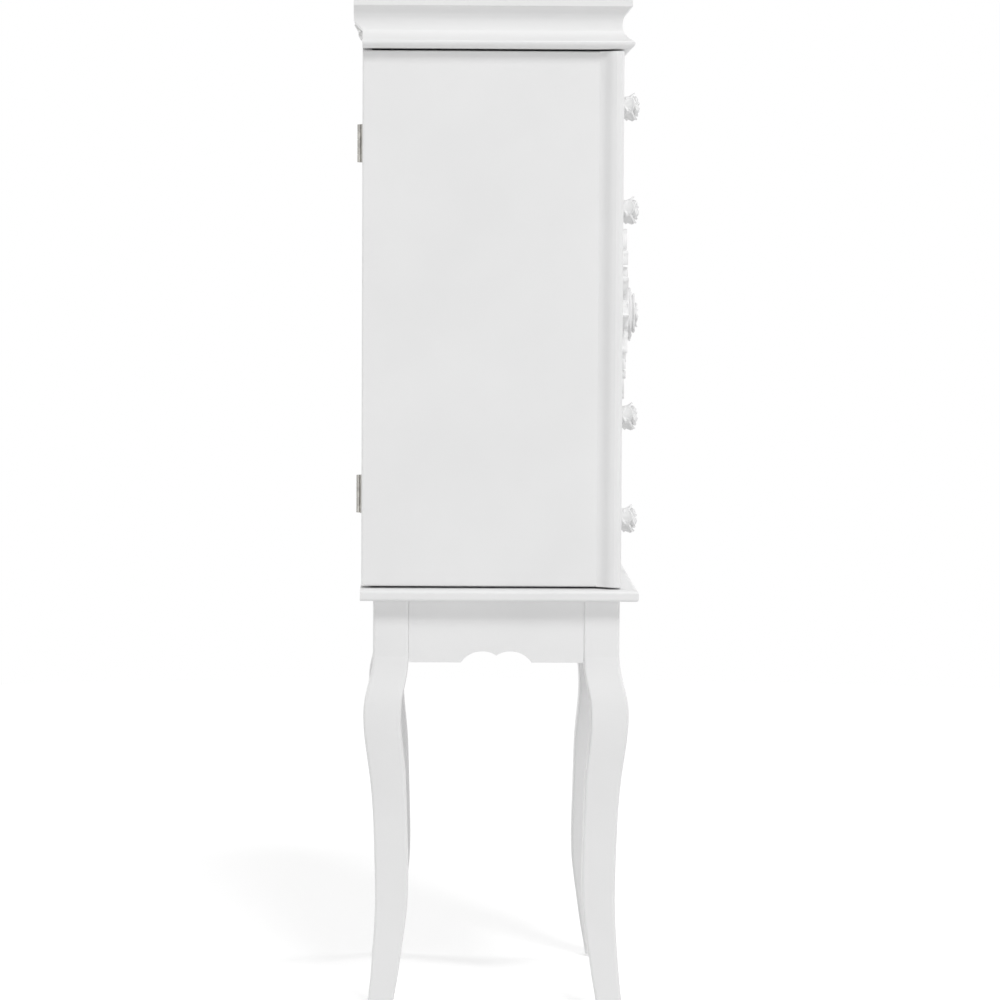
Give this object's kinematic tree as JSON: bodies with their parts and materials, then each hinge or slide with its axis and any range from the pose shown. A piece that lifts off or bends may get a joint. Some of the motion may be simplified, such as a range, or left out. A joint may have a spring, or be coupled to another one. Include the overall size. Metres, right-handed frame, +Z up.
{
  "type": "jewelry cabinet",
  "caption": "White jewelry cabinet on cabriole legs with a lift-up mirror lid over a tray, swinging side doors with necklace hooks, and front drawers with rose knobs and carving.",
  "frame": {"origin": "on the floor under the middle of the cabinet's box", "axes": "+Z up, the drawers face -Y, +X is the cabinet's right-hand side seen from the front"},
  "size_m": [0.39, 0.2959, 1.025],
  "materials": {
    "white_lacquered_wood": "white satin lacquer",
    "nickel_plated_steel": "nickel plated",
    "white_enamelled_steel": "white enamel",
    "brass_wire": "polished",
    "velvet": "short pile velvet over foam",
    "mirror_glass": "silvered float glass",
    "zinc_plated_steel": "zinc plated",
    "nylon": "moulded",
    "catch_plastic": "moulded"
  },
  "bodies": {
    "case": {"back_panel": "white_lacquered_wood", "base_board": "white_lacquered_wood", "corner_blocks": "white_lacquered_wood", "crown_moulding": "white_lacquered_wood", "door_hinge_case_leaves": "nickel_plated_steel", "door_hinge_pins": "nickel_plated_steel", "door_magnets": "catch_plastic", "drawer_runners": "white_lacquered_wood", "foot_glides": "nylon", "front_apron": "white_lacquered_wood", "front_left_leg": "white_lacquered_wood", "front_right_leg": "white_lacquered_wood", "left_apron": "white_lacquered_wood", "left_partition": "white_lacquered_wood", "leg_bolts": "zinc_plated_steel", "lid_hinge_case_leaves": "white_enamelled_steel", "lid_hinge_pins": "white_enamelled_steel", "rear_apron": "white_lacquered_wood", "rear_left_leg": "white_lacquered_wood", "rear_right_leg": "white_lacquered_wood", "right_apron": "white_lacquered_wood", "right_partition": "white_lacquered_wood", "ring_pad": "velvet", "tray_dividers": "white_lacquered_wood", "tray_floor": "white_lacquered_wood", "tray_front_rail": "white_lacquered_wood"},
    "drawer_1": {"drawer_1_box": "white_lacquered_wood", "drawer_1_front": "white_lacquered_wood", "drawer_1_knob": "white_lacquered_wood"},
    "drawer_2": {"drawer_2_box": "white_lacquered_wood", "drawer_2_carving": "white_lacquered_wood", "drawer_2_front": "white_lacquered_wood", "drawer_2_knob": "white_lacquered_wood"},
    "drawer_3": {"drawer_3_box": "white_lacquered_wood", "drawer_3_carving": "white_lacquered_wood", "drawer_3_front": "white_lacquered_wood"},
    "drawer_4": {"drawer_4_box": "white_lacquered_wood", "drawer_4_carving": "white_lacquered_wood", "drawer_4_front": "white_lacquered_wood", "drawer_4_knob": "white_lacquered_wood"},
    "drawer_5": {"drawer_5_box": "white_lacquered_wood", "drawer_5_front": "white_lacquered_wood", "drawer_5_knob": "white_lacquered_wood"},
    "left_door": {"left_door_hinge_leaves": "nickel_plated_steel", "left_door_hook_rail": "white_lacquered_wood", "left_door_hooks": "brass_wire", "left_door_panel": "white_lacquered_wood", "left_door_stile": "white_lacquered_wood", "left_door_strike_plate": "zinc_plated_steel"},
    "right_door": {"right_door_hinge_leaves": "nickel_plated_steel", "right_door_hook_rail": "white_lacquered_wood", "right_door_hooks": "brass_wire", "right_door_panel": "white_lacquered_wood", "right_door_stile": "white_lacquered_wood", "right_door_strike_plate": "zinc_plated_steel"},
    "lid": {"lid_hinge_leaves": "white_enamelled_steel", "lid_mirror": "mirror_glass", "lid_moulding": "white_lacquered_wood", "lid_panel": "white_lacquered_wood", "mirror_beads": "white_lacquered_wood"}
  },
  "joints": [
    {"name": "drawer_1_slide", "type": "slide", "parent": "case", "child": "drawer_1", "axis": [0, -1, 0], "range_m": [0, 0.15]},
    {"name": "drawer_2_slide", "type": "slide", "parent": "case", "child": "drawer_2", "axis": [0, -1, 0], "range_m": [0, 0.15]},
    {"name": "drawer_3_slide", "type": "slide", "parent": "case", "child": "drawer_3", "axis": [0, -1, 0], "range_m": [0, 0.15]},
    {"name": "drawer_4_slide", "type": "slide", "parent": "case", "child": "drawer_4", "axis": [0, -1, 0], "range_m": [0, 0.15]},
    {"name": "drawer_5_slide", "type": "slide", "parent": "case", "child": "drawer_5", "axis": [0, -1, 0], "range_m": [0, 0.15]},
    {"name": "left_door_hinge", "type": "hinge", "parent": "case", "child": "left_door", "pos_m": [-0.165, 0.14165, 0.703], "axis": [0, 0, -1], "range_deg": [0, 120]},
    {"name": "right_door_hinge", "type": "hinge", "parent": "case", "child": "right_door", "pos_m": [0.165, 0.14165, 0.703], "axis": [0, 0, 1], "range_deg": [0, 120]},
    {"name": "lid_hinge", "type": "hinge", "parent": "case", "child": "lid", "pos_m": [0, 0.14165, 0.98884], "axis": [-1, 0, 0], "range_deg": [0, 105]}
  ]
}
